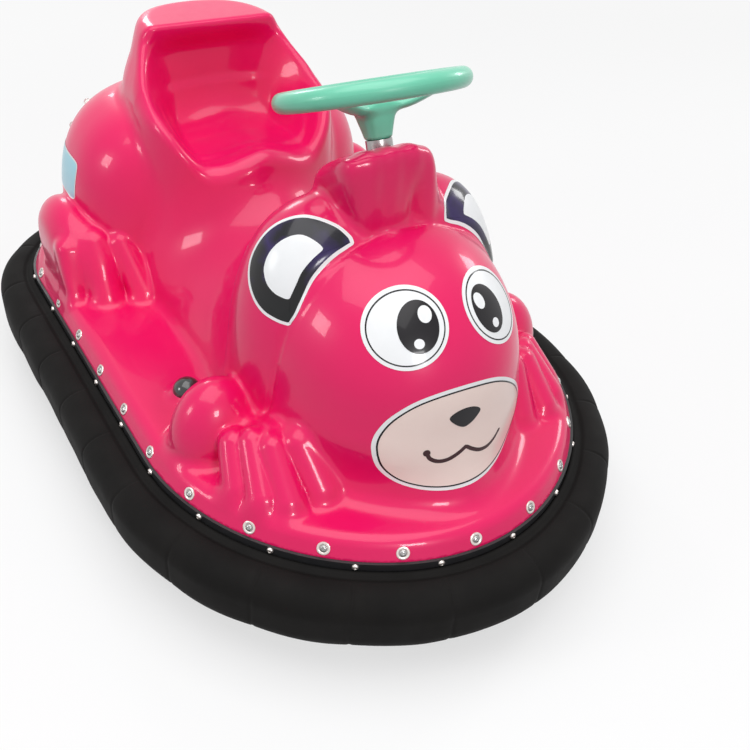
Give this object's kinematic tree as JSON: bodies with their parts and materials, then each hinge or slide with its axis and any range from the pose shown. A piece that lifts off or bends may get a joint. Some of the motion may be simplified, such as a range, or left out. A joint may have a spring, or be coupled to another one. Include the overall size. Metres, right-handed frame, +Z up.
{
  "type": "child's bumper car",
  "caption": "Child's battery bumper car: glossy pink bear-shaped moulding with bucket seat, black rubber ring bumper, green steering wheel and steered front drive wheel.",
  "frame": {"origin": "on the floor under the middle of the bumper's box", "axes": "+Z up, the car faces -Y, +X on its left-hand side"},
  "size_m": [0.79, 1.1834, 0.6827],
  "materials": {
    "shell": "glossy moulded fibreglass, pink",
    "bumper_rubber": "matt black rubber",
    "black_steel": "black paint",
    "frame_steel": "dark grey paint",
    "steel": "bright steel",
    "tyre": "solid rubber",
    "wheel_plastic": "moulded nylon",
    "mint_plastic": "mint green moulded plastic",
    "black_plastic": "glossy black plastic",
    "battery_case": "battery case"
  },
  "bodies": {
    "car": {"shell_deck": "shell", "head_dome": "shell", "cowl": "shell", "hair_tuft": "shell", "seat_tower": "shell", "saddle": "shell", "rump": "shell", "front_paw_right": "shell", "front_paw_left": "shell", "rear_paw_right": "shell", "rear_paw_left": "shell", "foot_button": "black_plastic", "bumper_band": "black_steel", "rubber_bumper": "bumper_rubber", "floor_pan": "frame_steel", "frame_rail_right": "frame_steel", "frame_rail_left": "frame_steel", "battery_tray": "frame_steel", "battery": "battery_case", "rear_axle": "steel", "axle_hanger_right": "frame_steel", "axle_hanger_left": "frame_steel", "axle_washer_right": "steel", "axle_washer_left": "steel", "fork_bridge": "frame_steel", "kingpin_bearing": "steel", "column_bush": "steel"},
    "rear_right_wheel": {"tyre_rear_right": "tyre", "rim_rear_right": "wheel_plastic"},
    "rear_left_wheel": {"tyre_rear_left": "tyre", "rim_rear_left": "wheel_plastic"},
    "steering": {"steering_shaft": "steel", "steering_hub": "mint_plastic", "steering_rim": "mint_plastic"},
    "drive_unit": {"drive_fork": "frame_steel", "drive_motor": "black_steel"},
    "front_wheel": {"tyre_front": "tyre", "rim_front": "wheel_plastic"}
  },
  "joints": [
    {"name": "rear_right_spin", "type": "hinge", "parent": "car", "child": "rear_right_wheel", "pos_m": [-0.225, 0.3, 0.075], "axis": [1, 0, 0], "continuous": true},
    {"name": "rear_left_spin", "type": "hinge", "parent": "car", "child": "rear_left_wheel", "pos_m": [0.225, 0.3, 0.075], "axis": [1, 0, 0], "continuous": true},
    {"name": "steering_turn", "type": "hinge", "parent": "car", "child": "steering", "pos_m": [0, -0.33318, 0.252], "axis": [0, 0.3907, 0.9205], "range_deg": [-90, 90]},
    {"name": "drive_swivel", "type": "hinge", "parent": "car", "child": "drive_unit", "pos_m": [0, -0.33318, 0.075], "axis": [0, 0, 1], "range_deg": [-90, 90]},
    {"name": "front_spin", "type": "hinge", "parent": "drive_unit", "child": "front_wheel", "pos_m": [0, -0.33318, 0.075], "axis": [1, 0, 0], "continuous": true}
  ],
  "couplings": [
    {"joint": "drive_swivel", "follows": "steering_turn", "ratio": 1}
  ]
}
